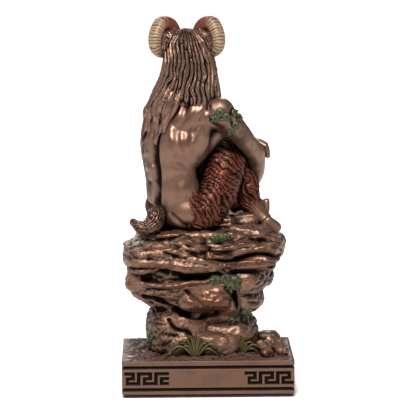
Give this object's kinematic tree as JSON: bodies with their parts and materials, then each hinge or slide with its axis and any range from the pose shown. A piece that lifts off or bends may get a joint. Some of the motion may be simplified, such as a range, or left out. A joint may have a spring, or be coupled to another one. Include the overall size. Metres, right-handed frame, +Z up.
{
  "type": "pan figurine",
  "caption": "Small cast bronze-finish figurine of goat-legged Pan seated on a rock, one knee raised, with ram's horns, long hair and pan pipes, on a rectangular plinth with a key border.",
  "frame": {"origin": "middle of the underside of the felt pad, on the surface that the figurine stands on", "axes": "+Z up along the figure; Pan's face looks towards -Y and his raised right knee is towards -X; X runs along the plinth's longer side"},
  "size_m": [0.042, 0.036, 0.0919],
  "materials": {
    "cold_cast_bronze": "cold-cast bronze resin: warm brown bronze rubbed bright on the high places, near-black in the recesses",
    "plinth_bronze": "the same bronze finish, plainer, with near-black engraved lines",
    "fur_red_brown": "red-brown wash over carved fur, dark between the locks",
    "horn_cream": "cream paint on the ribbed outer face of the horns, red-brown towards the root",
    "leaf_green": "green wash over ivy leaves and grass, bronze showing through on the edges",
    "felt": "black felt"
  },
  "bodies": {
    "root": {"pan_on_rock": "cold_cast_bronze", "plinth": "plinth_bronze", "felt_pad": "felt"}
  },
  "joints": []
}
